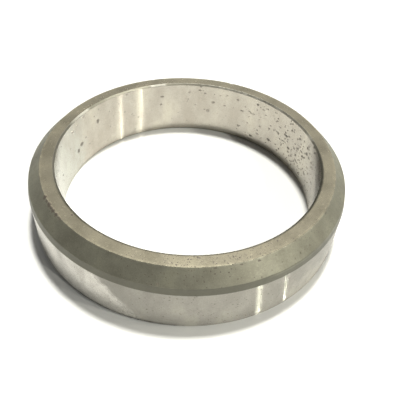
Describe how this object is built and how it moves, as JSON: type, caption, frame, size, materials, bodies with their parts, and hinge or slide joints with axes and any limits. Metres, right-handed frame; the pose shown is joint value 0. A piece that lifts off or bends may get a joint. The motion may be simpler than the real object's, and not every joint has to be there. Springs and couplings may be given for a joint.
{
  "type": "bearing outer ring",
  "caption": "Plain hardened-steel bearing outer ring with a cylindrical raceway bore, a ground outside and one wide two-step lead-in bevel.",
  "frame": {"origin": "centre of the lower face, on the ring's axis, where the ring stands", "axes": "+Z along the ring's axis, from the lower face with the small rounded corner to the upper face with the wide bevel"},
  "size_m": [0.11, 0.11, 0.0224],
  "materials": {
    "bearing_steel": "ground outside and polished raceway, dull turned bevel, light staining and pitting from use"
  },
  "bodies": {
    "root": {"outer_ring": "bearing_steel"}
  },
  "joints": []
}
